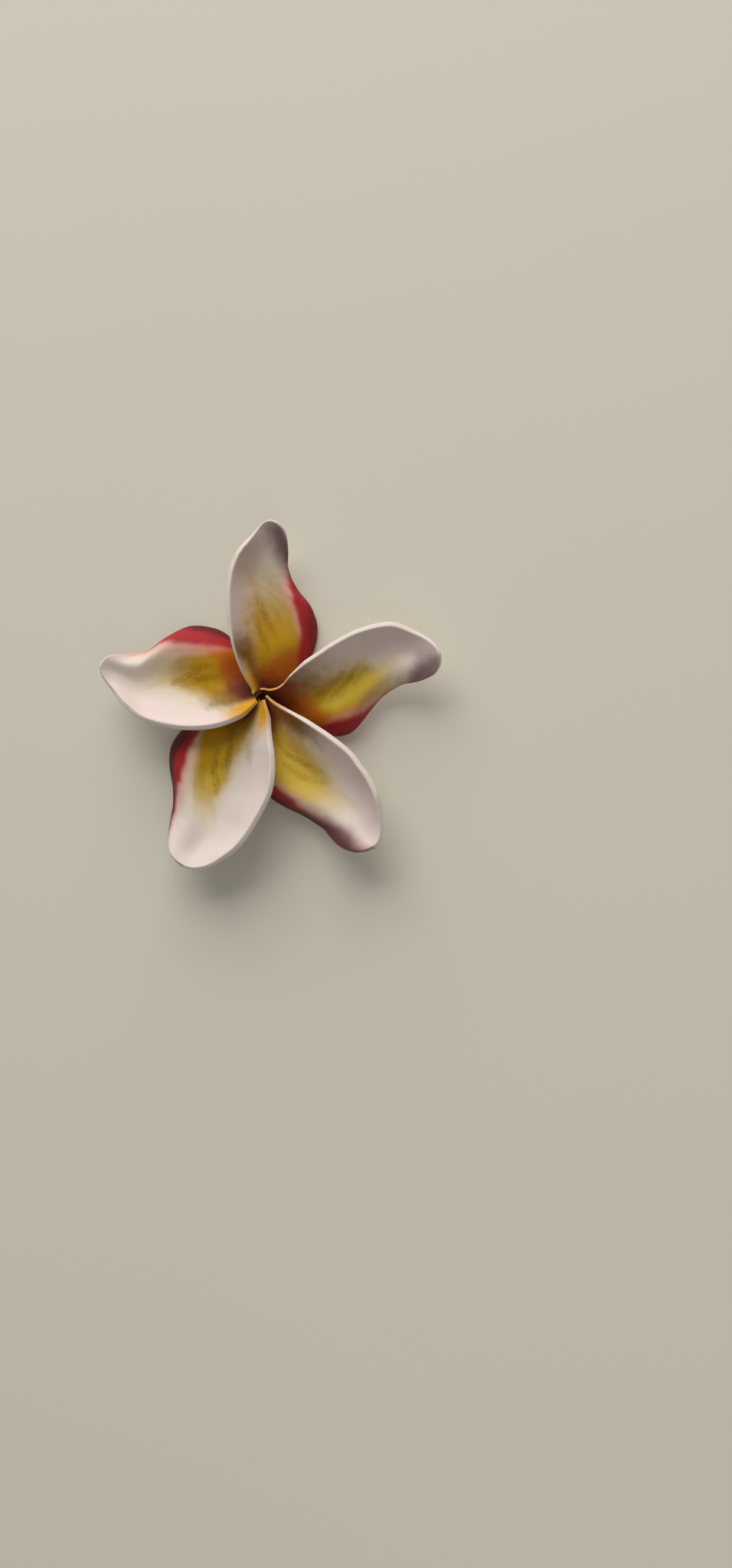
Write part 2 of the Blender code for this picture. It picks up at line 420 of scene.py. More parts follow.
def run_tree(name, mesh, tree, values):
    """Evaluates the tree on the mesh with its named inputs set, and keeps the result as a plain mesh."""
    source = bpy.data.objects.new(name + "_sheet", mesh)
    bpy.context.scene.collection.objects.link(source)
    modifier = source.modifiers.new(tree.name, "NODES")
    modifier.node_group = tree
    sockets = {s.name: s.identifier for s in tree.interface.items_tree if s.in_out == "INPUT"}
    for key, value in values.items():
        modifier[sockets[key]] = value
    depsgraph = bpy.context.evaluated_depsgraph_get()
    made = bpy.data.meshes.new_from_object(source.evaluated_get(depsgraph))
    source.modifiers.remove(modifier)
    bpy.data.objects.remove(source)
    if not len(made.polygons):
        raise RuntimeError(name + " came out empty")
    made.name = name
    piece = bpy.data.objects.new(name, made)
    bpy.context.scene.collection.objects.link(piece)
    return piece


# --------------------------------------------------------------------------------------------------
# Shared paint and foam effects
# --------------------------------------------------------------------------------------------------


def airbrush_group():
    """How much airbrushed paint lies at a place: soft at its edge, and broken into droplets where it is thin.

    Lengths are in mm on the petal.
    """
    tree, given, result = group_tree(
        "airbrush", "ShaderNodeTree",
        (
            ("Inside", "Float", 0.0), ("Softness", "Float", 2.0), ("Density", "Float", 1.0),
            ("Droplets", "Float", 0.5), ("Place", "Vector"),
        ),
        (("Mask", "Float"),),
    )
    w = Wiring(tree)
    drift_scale, drift_amount, droplet_scale = 0.35, 0.25, 3.2
    drift = w.math("SUBTRACT", w.noise(given["Place"], drift_scale, 2.0), 0.5)
    spread = w.math("DIVIDE", given["Inside"], given["Softness"])
    edge = w.math("ADD", spread, w.math("MULTIPLY", drift, drift_amount))
    cover = w.math("MULTIPLY", w.ramp(edge, -0.5, 0.5), given["Density"])
    fine = w.ramp(w.noise(given["Place"], droplet_scale, 2.0, 0.7), 0.3, 0.7, kind="LINEAR")
    threshold = w.math("SUBTRACT", 1.6, w.math("MULTIPLY", cover, 2.2))
    drops = w.ramp(w.math("SUBTRACT", fine, threshold), -0.6, 0.6)
    mixed = w.add("ShaderNodeMix", given["Droplets"], named={"A": cover, "B": drops}, data_type="FLOAT")
    w.feed(result["Mask"], w.math("MULTIPLY", mixed.outputs[0], 1.0, clamp=True))
    return tree


def brush_group():
    """One dry brush stroke between two places on the petal, tapering off at both ends."""
    tree, given, result = group_tree(
        "brush_stroke", "ShaderNodeTree",
        (
            ("Place", "Vector"), ("Start", "Vector"), ("End", "Vector"), ("Width", "Float", 0.5),
            ("Softness", "Float", 0.5), ("Density", "Float", 1.0),
        ),
        (("Mask", "Float"),),
    )
    w = Wiring(tree)
    wobble_scale, wobble_reach = 0.45, 1.6
    wobbly = {"Vector": given["Place"], "Scale": wobble_scale, "Detail": 2.0}
    wobble = w.add("ShaderNodeTexNoise", named=wobbly).outputs["Color"]
    shift = w.vector("SCALE", w.vector("SUBTRACT", wobble, (0.5, 0.5, 0.5)), scale=wobble_reach)
    place = w.vector("MULTIPLY", w.vector("ADD", given["Place"], shift), (1.0, 1.0, 0.0))
    line = w.vector("SUBTRACT", given["End"], given["Start"])
    offset = w.vector("SUBTRACT", place, given["Start"])
    reach, whole = w.vector("DOT_PRODUCT", offset, line), w.vector("DOT_PRODUCT", line, line)
    share = w.math("DIVIDE", reach, whole, clamp=True)
    away = w.vector("LENGTH", w.vector("SUBTRACT", offset, w.vector("SCALE", line, scale=share)))
    rounded = w.math("MULTIPLY", share, w.math("SUBTRACT", 1.05, share))
    taper = w.math("SQRT", w.math("MULTIPLY", 4.0, rounded))
    wide = w.math("MULTIPLY", w.math("MULTIPLY", given["Width"], 0.5), taper)
    body = w.ramp(w.math("SUBTRACT", away, wide), 0.0, given["Softness"], 1.0, 0.0)
    dry = w.ramp(w.noise(given["Place"], 1.6, 2.0, 0.6), 0.25, 0.75)
    w.feed(result["Mask"], w.math("MULTIPLY", w.math("MULTIPLY", body, dry), given["Density"]))
    return tree


def foam_grain_group():
    """The closed-cell foam's skin: faint mottling, fine pores and shallow dimples."""
    tree, given, result = group_tree(
        "foam_grain", "ShaderNodeTree",
        (("Place", "Vector"), ("Pore Size", "Float", 0.25)),
        (("Mottle", "Float"), ("Height", "Float"), ("Pores", "Float")),
    )
    w = Wiring(tree)
    scale = w.math("DIVIDE", 1.0 / MM, given["Pore Size"])
    celled = {"Vector": given["Place"], "Scale": scale, "Detail": 0.0}
    cells = w.add("ShaderNodeTexVoronoi", named=celled, feature="F1")
    pores = w.ramp(cells.outputs["Distance"], 0.05, 0.5)
    fine = w.noise(given["Place"], w.math("MULTIPLY", scale, 0.9), 3.0, 0.6)
    dimple_size, mottle_size = 2.2 * MM, 6.0 * MM
    dimples = w.noise(given["Place"], 1.0 / dimple_size, 2.0, 0.5)
    height = w.math("ADD", w.math("MULTIPLY", pores, 0.35), w.math("MULTIPLY", fine, 0.65))
    w.feed(result["Height"], w.math("ADD", height, w.math("MULTIPLY", dimples, 1.5)))
    w.feed(result["Mottle"], w.noise(given["Place"], 1.0 / mottle_size, 3.0, 0.6))
    w.feed(result["Pores"], pores)
    return tree


# --------------------------------------------------------------------------------------------------
# What is painted on each petal
# --------------------------------------------------------------------------------------------------

# The lower edge of a field that runs off the petal over its lobe.
OFF_LOBE = ((0.0, -1.6), (1.0, -1.6))

# Each coat: its colour, the lower and upper edge of the painted field as (share of length, place across)
# points, how softly it fades in mm, how dense it is and how much it breaks into droplets. The lobe's edge is
# at -1 and the rim at 1. Beyond them is off the petal. A field ends where its upper edge does.
# The mauve coats are partly mauve paint and partly painted shade, on the petals' tips and over the top
# petal's face.
COATS = {
    "petal_top": (
        ("blush", ((0.0, 0.9), (0.2, 0.7), (0.4, 0.6), (0.7, 0.45), (0.85, 0.6), (1.0, 0.8)), ((0.0, 0.6),
         (0.15, 0.7), (0.24, 1.6), (1.0, 1.6)), 7.0, 0.6, 0.1),
        # These two thin mauve washes are painted shade over the top petal's face.
        ("mauve_and_shade", ((0.0, 0.8), (0.3, 0.66), (0.5, 0.52), (0.8, 0.4), (1.0, 0.5)), ((0.2, 1.6), (1.0, 1.6)),
         8.0, 0.2, 0.1),
        ("mauve_and_shade", OFF_LOBE, ((0.5, -1.4), (0.64, -0.3), (0.72, 0.4), (0.8, 0.8), (1.0, 0.9)), 14.0, 0.2,
         0.1),
        ("haze", OFF_LOBE, ((0.0, 1.2), (0.3, 0.8), (0.5, 0.75), (0.74, 0.6)), 12.0, 0.4, 0.1),
        ("ochre", ((0.0, -1.6), (0.3, -1.2), (0.4, -0.78), (0.5, -0.6), (0.6, -0.5), (0.66, -0.4)),
         ((0.0, 1.2), (0.12, 1.0), (0.22, 0.78), (0.35, 0.70), (0.45, 0.68), (0.55, 0.6), (0.61, 0.45)),
         8.8, 1.0, 0.15),
        ("orange", OFF_LOBE, ((0.0, 0.7), (0.1, 0.5), (0.2, 0.1), (0.3, -0.35), (0.4, -0.62), (0.5, -0.66),
         (0.56, -0.66)), 7.0, 0.9, 0.35),
        ("umber", ((0.0, 0.2), (0.1, 0.30), (0.2, 0.42), (0.3, 0.60), (0.36, 0.74)), ((0.0, 0.9),
         (0.1, 0.85), (0.2, 0.95), (0.3, 1.15), (0.36, 1.2)), 5.0, 1.0, 0.1),
        ("russet", OFF_LOBE, ((0.0, 0.9), (0.08, 0.7), (0.14, 0.4), (0.17, 0.2)), 6.0, 0.85, 0.3),
        ("throat", OFF_LOBE, ((0.0, 1.0), (0.05, 0.8), (0.085, 0.4)), 4.0, 0.95, 0.2),
        ("yellow", ((0.0, 0.55), (0.1, 0.78), (0.16, 0.9)), ((0.0, 1.6), (0.16, 1.6)), 3.5, 0.85, 0.2),
        ("pink", OFF_LOBE, ((0.3, -1.3), (0.42, -0.62), (0.52, -0.38), (0.58, -0.34), (0.64, -0.48),
         (0.7, -0.70), (0.78, -0.95), (0.86, -1.2)), 4.5, 0.6, 0.25),
        ("red", OFF_LOBE, ((0.2, -1.2), (0.28, -0.84), (0.35, -0.70), (0.45, -0.62), (0.52, -0.54),
         (0.57, -0.52), (0.62, -0.62), (0.66, -0.76), (0.72, -0.90), (0.78, -1.05)), 3.0, 1.0, 0.35),
        ("maroon", OFF_LOBE, ((0.28, -1.2), (0.36, -0.92), (0.42, -0.84), (0.5, -0.76), (0.56, -0.80),
         (0.62, -0.92), (0.7, -1.05)), 3.2, 0.55, 0.6),
        ("mauve_and_shade", OFF_LOBE, ((0.66, -1.3), (0.76, -0.90), (0.82, -0.45), (0.88, -0.08), (0.94, 0.18),
         (1.0, 0.3)), 10.0, 0.85, 0.12),
    ),
    "petal_left": (
        ("blush", ((0.0, 0.6), (0.2, 0.6), (0.6, 0.5), (0.8, 0.6), (1.0, 0.9)), ((0.0, 0.6), (0.14, 0.8),
         (0.22, 1.6), (1.0, 1.6)), 8.0, 0.4, 0.05),
        ("haze", OFF_LOBE, ((0.0, 0.9), (0.2, 0.7), (0.4, 0.50), (0.6, 0.38), (0.7, 0.3)), 9.0, 0.55, 0.1),
        ("ochre", ((0.0, -1.6), (0.3, -1.2), (0.4, -0.65), (0.48, -0.42), (0.56, -0.24), (0.62, -0.1)),
         ((0.0, 0.5), (0.2, 0.42), (0.28, 0.40), (0.36, 0.33), (0.45, 0.30), (0.52, 0.27), (0.6, 0.2)), 6.8,
         1.0, 0.15),
        ("orange", OFF_LOBE, ((0.0, 0.4), (0.1, 0.2), (0.2, 0.0), (0.3, -0.28), (0.38, -0.48),
         (0.44, -0.50), (0.5, -0.45)), 6.0, 1.0, 0.35),
        ("umber", ((0.0, -0.2), (0.1, -0.2), (0.2, -0.05), (0.28, 0.2)), ((0.0, 0.4), (0.08, 0.5),
         (0.14, 0.58), (0.2, 0.56), (0.28, 0.48)), 6.0, 0.9, 0.1),
        ("russet", OFF_LOBE, ((0.0, 0.5), (0.1, 0.35), (0.16, 0.15), (0.24, -0.1)), 6.0, 0.95, 0.3),
        ("throat", OFF_LOBE, ((0.0, 0.5), (0.05, 0.4), (0.10, 0.3), (0.16, 0.0)), 5.0, 0.95, 0.2),
        ("yellow", ((0.0, 0.35), (0.08, 0.5), (0.13, 0.56), (0.21, 0.7)), ((0.0, 1.6), (0.21, 1.6)), 3.2,
         1.0, 0.1),
        ("pink", OFF_LOBE, ((0.3, -1.3), (0.4, -0.64), (0.46, -0.44), (0.54, -0.32), (0.62, -0.28),
         (0.68, -0.36), (0.74, -0.54), (0.82, -0.78), (0.95, -0.85)), 6.0, 0.5, 0.2),
        ("red", OFF_LOBE, ((0.28, -1.2), (0.37, -0.84), (0.43, -0.70), (0.5, -0.57), (0.57, -0.50),
         (0.62, -0.50), (0.66, -0.56), (0.70, -0.68), (0.75, -0.86), (0.80, -1.05)), 4.0, 1.0, 0.3),
        ("maroon", OFF_LOBE, ((0.3, -1.2), (0.38, -1.02), (0.45, -0.90), (0.52, -0.84), (0.60, -0.83),
         (0.66, -0.90), (0.74, -1.05)), 4.0, 0.8, 0.5),
    ),
    "petal_lower_left": (
        ("blush", ((0.0, 0.6), (0.3, 0.2), (0.6, 0.5), (0.8, 0.6), (1.0, 0.6)), ((0.0, 0.6), (0.12, 0.7),
         (0.2, 1.6), (0.75, 1.6)), 9.0, 0.15, 0.05),
        ("haze", OFF_LOBE, ((0.0, 0.9), (0.2, 0.55), (0.4, 0.28), (0.6, 0.27), (0.7, 0.15)), 8.0, 0.5, 0.1),
        ("ochre", ((0.0, -1.6), (0.3, -1.2), (0.38, -0.75), (0.45, -0.50), (0.52, -0.34), (0.58, -0.25),
         (0.66, -0.15)), ((0.0, 0.4), (0.2, 0.28), (0.26, 0.22), (0.33, 0.17), (0.42, 0.13), (0.5, 0.18),
         (0.56, 0.16), (0.63, 0.08)), 6.1, 1.0, 0.15),
        ("lemon", ((0.0, -0.1), (0.48, -0.08), (0.56, -0.16), (0.66, -0.16)), ((0.44, -0.1), (0.52, 0.14),
         (0.64, 0.08)), 5.4, 0.7, 0.15),
        ("umber", ((0.0, -1.6), (0.2, -1.6), (0.24, -0.6), (0.3, -0.2)), ((0.0, 0.2), (0.1, 0.35),
         (0.15, 0.55), (0.2, 0.55), (0.28, 0.40)), 7.2, 0.5, 0.1),
        ("russet", OFF_LOBE, ((0.0, 0.2), (0.1, 0.1), (0.15, -0.05), (0.2, -0.2)), 6.0, 0.85, 0.3),
        ("throat", OFF_LOBE, ((0.0, 0.2), (0.055, 0.1), (0.1, -0.1)), 4.0, 0.95, 0.2),
        ("yellow", ((0.0, 0.1), (0.06, 0.25), (0.1, 0.42), (0.19, 0.66)), ((0.0, 1.6), (0.19, 1.6)), 3.5,
         1.0, 0.1),
        ("pink", OFF_LOBE, ((0.3, -1.3), (0.42, -0.60), (0.5, -0.42), (0.58, -0.32), (0.64, -0.32),
         (0.7, -0.50), (0.78, -0.7), (0.9, -0.95)), 5.0, 0.4, 0.2),
        ("red", OFF_LOBE, ((0.28, -1.2), (0.35, -0.96), (0.40, -0.74), (0.46, -0.62), (0.52, -0.54),
         (0.58, -0.46), (0.62, -0.46), (0.66, -0.56), (0.70, -0.73), (0.75, -0.86), (0.82, -0.92),
         (0.9, -1.0), (1.0, -1.2)), 4.0, 1.0, 0.3),
        ("maroon", OFF_LOBE, ((0.3, -1.2), (0.38, -1.0), (0.44, -0.82), (0.5, -0.74), (0.58, -0.73),
         (0.64, -0.71), (0.68, -0.77), (0.72, -0.90), (0.8, -0.92), (0.9, -1.02), (1.0, -1.2)), 4.0, 0.9,
         0.45),
    ),
    "petal_lower_right": (
        ("blush", ((0.0, 0.8), (0.3, 0.8), (0.5, 0.7), (0.7, 0.5), (0.9, 0.3), (1.0, 0.2)), ((0.0, 0.6),
         (0.12, 0.7), (0.2, 1.6), (1.0, 1.6)), 9.0, 0.6, 0.1),
        ("haze", OFF_LOBE, ((0.0, 0.9), (0.2, 0.75), (0.4, 0.65), (0.52, 0.55), (0.6, 0.35), (0.68, 0.1)),
         9.0, 0.6, 0.1),
        ("ochre", ((0.0, -1.6), (0.38, -1.2), (0.46, -0.60), (0.56, -0.46), (0.66, -0.4)), ((0.0, 0.4),
         (0.15, 0.5), (0.25, 0.55), (0.32, 0.55), (0.4, 0.46), (0.5, 0.42), (0.56, 0.30), (0.62, 0.08)),
         7.4, 0.75, 0.15),
        ("lemon", ((0.0, -1.6), (0.3, -1.2), (0.45, -0.55), (0.55, -0.42), (0.66, -0.35)), ((0.12, -0.3),
         (0.2, 0.0), (0.3, 0.22), (0.4, 0.22), (0.5, 0.26), (0.57, 0.12), (0.63, -0.05)), 6.8, 0.8, 0.15),
        ("orange", OFF_LOBE, ((0.0, 0.7), (0.1, 0.45), (0.16, 0.2), (0.22, -0.05)), 7.0, 0.85, 0.35),
        ("umber", ((0.0, 0.2), (0.1, 0.30), (0.2, 0.45), (0.3, 0.62), (0.38, 0.80)), ((0.0, 1.6),
         (0.1, 1.4), (0.2, 1.3), (0.3, 1.25), (0.38, 1.2)), 6.0, 1.0, 0.1),
        ("russet", OFF_LOBE, ((0.0, 1.4), (0.08, 1.0), (0.14, 0.7), (0.18, 0.5)), 6.0, 0.9, 0.3),
        ("throat", OFF_LOBE, ((0.0, 1.2), (0.06, 0.7), (0.1, 0.3)), 4.0, 0.95, 0.2),
        ("pink", OFF_LOBE, ((0.36, -1.2), (0.48, -0.48), (0.55, -0.38), (0.62, -0.50), (0.7, -0.58),
         (0.8, -0.48), (0.9, -0.2), (1.0, -0.3)), 6.0, 0.42, 0.2),
        ("red", OFF_LOBE, ((0.36, -1.1), (0.42, -0.85), (0.47, -0.64), (0.52, -0.54), (0.57, -0.56),
         (0.62, -0.70), (0.7, -0.80), (0.8, -0.77), (0.88, -0.74), (0.95, -0.88), (1.0, -1.1)), 4.5, 0.95,
         0.3),
        ("maroon", OFF_LOBE, ((0.38, -1.1), (0.47, -0.90), (0.55, -0.80), (0.62, -0.88), (0.74, -0.92),
         (0.82, -0.80), (0.88, -0.72), (0.95, -0.80), (1.0, -1.0)), 4.5, 0.85, 0.45),
        ("mauve_and_shade", OFF_LOBE, ((0.56, -1.0), (0.7, -0.78), (0.78, -0.62), (0.85, -0.36), (0.9, -0.3),
         (0.95, -0.42), (1.0, -0.6)), 6.0, 0.85, 0.12),
    ),
    "petal_right": (
        ("blush", ((0.0, 0.8), (0.3, 0.7), (0.6, 0.55), (0.8, 0.45), (1.0, 0.2)), ((0.0, 0.4), (0.2, 0.5),
         (0.3, 1.6), (1.0, 1.6)), 8.0, 0.45, 0.1),
        ("haze", OFF_LOBE, ((0.0, 1.2), (0.2, 0.9), (0.4, 0.65), (0.52, 0.6), (0.6, 0.35), (0.7, 0.0)), 9.0,
         0.6, 0.1),
        ("ochre", ((0.0, -1.6), (0.32, -1.2), (0.40, -0.75), (0.46, -0.66), (0.52, -0.66), (0.58, -0.74),
         (0.66, -0.9)), ((0.0, 0.8), (0.2, 0.52), (0.3, 0.42), (0.4, 0.44), (0.5, 0.47), (0.55, 0.40),
         (0.6, 0.20), (0.66, -0.15)), 7.4, 1.0, 0.15),
        ("lemon", ((0.3, -0.3), (0.42, -0.35), (0.5, -0.22), (0.56, -0.32), (0.62, -0.55), (0.68, -0.75)),
         ((0.3, -0.4), (0.42, 0.15), (0.5, 0.26), (0.56, 0.20), (0.62, -0.08), (0.68, -0.35)), 6.1, 0.85,
         0.15),
        ("orange", OFF_LOBE, ((0.0, 1.2), (0.12, 0.65), (0.2, 0.25), (0.28, -0.05), (0.36, -0.35),
         (0.44, -0.50), (0.5, -0.55)), 7.0, 0.9, 0.35),
        ("umber", ((0.0, 0.9), (0.1, 0.6), (0.2, 0.30), (0.3, 0.30), (0.4, 0.5)), ((0.0, 1.9), (0.36, 1.9)),
         8.4, 0.85, 0.1),
        ("russet", OFF_LOBE, ((0.0, 1.6), (0.1, 1.6), (0.16, 1.1), (0.23, 0.5)), 6.5, 0.95, 0.3),
        ("throat", OFF_LOBE, ((0.0, 1.6), (0.06, 1.4), (0.12, 0.9)), 4.0, 0.95, 0.2),
        ("pink", OFF_LOBE, ((0.34, -1.2), (0.44, -0.46), (0.5, -0.42), (0.56, -0.58), (0.62, -0.78),
         (0.7, -0.9), (0.84, -1.1)), 4.5, 0.45, 0.25),
        ("red", OFF_LOBE, ((0.26, -1.2), (0.34, -0.86), (0.38, -0.72), (0.44, -0.62), (0.5, -0.61),
         (0.54, -0.70), (0.58, -0.85), (0.64, -0.96), (0.72, -1.02), (0.84, -1.2)), 3.2, 1.0, 0.35),
        ("maroon", OFF_LOBE, ((0.3, -1.2), (0.38, -1.02), (0.43, -0.94), (0.48, -0.89), (0.52, -0.92),
         (0.57, -1.02), (0.66, -1.1)), 3.2, 0.55, 0.6),
        ("mauve_and_shade", OFF_LOBE, ((0.7, -1.2), (0.78, -0.95), (0.84, -0.55), (0.88, -0.2), (0.93, 0.1),
         (1.0, 0.25)), 9.0, 0.85, 0.12),
    ),
}

# Dark brush strokes over the ochre field, as (share, across) from and to, width in mm and density.
STROKES = {
    "petal_top": (
        (0.27, 0.14, 0.40, 0.50, 0.8, 0.6), (0.36, 0.04, 0.49, 0.38, 1.0, 0.75),
        (0.45, 0.30, 0.57, 0.46, 0.8, 0.45),
        (0.40, 0.46, 0.48, 0.58, 0.7, 0.5), (0.33, 0.34, 0.38, 0.46, 0.6, 0.4),
        (0.44, -0.10, 0.52, 0.08, 0.7, 0.3),
    ),
    "petal_left": (
        (0.30, -0.20, 0.43, 0.06, 1.0, 0.9), (0.36, -0.36, 0.47, -0.12, 0.9, 0.7),
        (0.42, -0.12, 0.57, 0.24, 1.0, 0.85),
        (0.38, -0.02, 0.51, 0.26, 0.8, 0.5), (0.23, 0.34, 0.34, 0.62, 0.9, 0.6),
        (0.48, -0.16, 0.58, 0.04, 0.7, 0.4),
    ),
    "petal_lower_left": (
        (0.24, -0.26, 0.43, 0.08, 1.0, 0.8), (0.33, -0.04, 0.46, 0.14, 0.8, 0.6),
        (0.38, -0.24, 0.50, -0.04, 0.9, 0.7),
        (0.44, -0.12, 0.58, 0.14, 1.0, 0.8), (0.27, 0.34, 0.37, 0.52, 0.8, 0.4),
        (0.50, -0.24, 0.60, -0.08, 0.7, 0.35),
    ),
    "petal_lower_right": (
        (0.24, -0.18, 0.35, 0.00, 0.8, 0.55), (0.34, -0.02, 0.46, 0.26, 1.0, 0.8),
        (0.38, -0.22, 0.50, 0.00, 0.8, 0.6),
        (0.44, 0.16, 0.52, 0.34, 0.7, 0.35), (0.47, -0.02, 0.56, 0.12, 0.7, 0.35),
        (0.28, 0.06, 0.36, 0.24, 0.6, 0.3),
    ),
    "petal_right": (
        (0.32, 0.14, 0.47, 0.48, 0.9, 0.7), (0.39, 0.04, 0.51, 0.28, 0.9, 0.7),
        (0.26, -0.04, 0.36, 0.18, 0.8, 0.4),
        (0.47, 0.28, 0.56, 0.42, 0.8, 0.45), (0.36, -0.16, 0.46, 0.04, 0.7, 0.4),
        (0.52, 0.14, 0.60, 0.14, 0.7, 0.4),
    ),
}


def paint_colour(name, description, red, green, blue):
    """A colour property whose default is given in the 0-255 values of a display colour."""
    return bpy.props.FloatVectorProperty(
        name=name, description=description, subtype="COLOR", default=tone(red, green, blue))


class FoamPaint(bpy.types.PropertyGroup):
    """The colours that the blossom is sprayed and brushed with."""

    foam: paint_colour("Bare Foam", "The foam before it is painted", 236, 226, 218)
    blush: paint_colour("Blush", "Faint pink along a petal's rim", 230, 203, 202)
    haze: paint_colour("Haze", "Thin olive overspray round the ochre", 216, 194, 104)
    ochre: paint_colour("Ochre", "The field over the middle of a petal", 190, 146, 22)
    lemon: paint_colour("Lemon", "The brightest part of the ochre", 222, 190, 66)
    yellow: paint_colour("Deep Yellow", "The turned-up rim near the throat", 216, 158, 10)
    orange: paint_colour("Orange Brown", "Between the ochre and the throat", 190, 102, 18)
    russet: paint_colour("Russet", "Round the throat", 132, 50, 8)
    umber: paint_colour("Umber", "Brown shading beside the throat", 128, 82, 22)
    throat: paint_colour("Throat", "The dark red brown in the throat", 70, 16, 4)
    pink: paint_colour("Pink", "Feathered out beside the red edge", 232, 140, 146)
    red: paint_colour("Red", "The band along the lobe", 168, 38, 44)
    maroon: paint_colour("Maroon", "The darkest edge of the lobe", 86, 22, 28)
    # Partly mauve paint, partly painted shade for tips and faces turned from the light.
    mauve_and_shade: paint_colour("Mauve", "Shading at a petal's tip", 98, 62, 68)
    stroke: paint_colour("Brush Strokes", "Dry strokes over the ochre", 116, 86, 14)


class FoamSizes(bpy.types.PropertyGroup):
    """The sizes of the foam and of its finish."""

    thickness: bpy.props.FloatProperty(
        name="Foam Thickness", description="Thickness of the foam sheet", default=2.0 * MM, unit="LENGTH",
        precision=4)
    thinning: bpy.props.FloatProperty(
        name="Base Thinning", description="Share of the thickness left at the axis", default=0.5,
        subtype="FACTOR")
    bulge: bpy.props.FloatProperty(
        name="Edge Bulge", description="How far the cut edge rounds outwards", default=0.28 * MM,
        unit="LENGTH", precision=5)
    roughness: bpy.props.FloatProperty(
        name="Cut Roughness", description="Depth of the marks across the cut edge", default=0.13 * MM,
        unit="LENGTH", precision=5)
    waviness: bpy.props.FloatProperty(
        name="Waviness", description="Unevenness left by forming the petals by hand", default=0.45 * MM,
        unit="LENGTH", precision=5)
    wave_length: bpy.props.FloatProperty(
        name="Wave Length", description="Spacing of that unevenness", default=14.0 * MM, unit="LENGTH",
        precision=4)


# --------------------------------------------------------------------------------------------------
# Materials
# --------------------------------------------------------------------------------------------------


# The distance to a field's end counts for this much, so that it fades about three times as gradually there.
END_FADE = 0.33

# A field that ends past this share of the length runs off the tip and has no fade there.
LAST_END = 0.98

STROKE_SOFTNESS = 1.2
STROKE_DENSITY = 0.7

FACE_MOTTLE = tone(228, 208, 200)
CUT_MOTTLE = tone(222, 208, 194)
EDGE_STAIN = tone(212, 152, 20)
PORE_SHADE = tone(120, 96, 84)
TUBE_FOAM = tone(226, 216, 180)
TUBE_MOTTLE = tone(196, 180, 120)
TUBE_PORE_SHADE = tone(120, 96, 70)

# Painted shade in the hole: the tube's top darkens to the throat's colour between these two heights.
HOLE_SHADE_FROM, HOLE_SHADE_TO = 1.2 * MM, 2.8 * MM


def edge_curve(w, along, points):
    """A line across the petal through the given points: the place across at each share of the length."""
    node = w.add("ShaderNodeFloatCurve", named={"Factor": 1.0, "Value": along})
    mapping = node.mapping
    mapping.extend = "HORIZONTAL"
    mapping.use_clip = False
    curve = mapping.curves[0]
    curve.points[0].location = points[0]
    curve.points[1].location = points[-1]
    for point in points[1:-1]:
        curve.points.new(*point)
    for point in curve.points:
        point.handle_type = "AUTO_CLAMPED"
    mapping.update()
    return node.outputs[0]


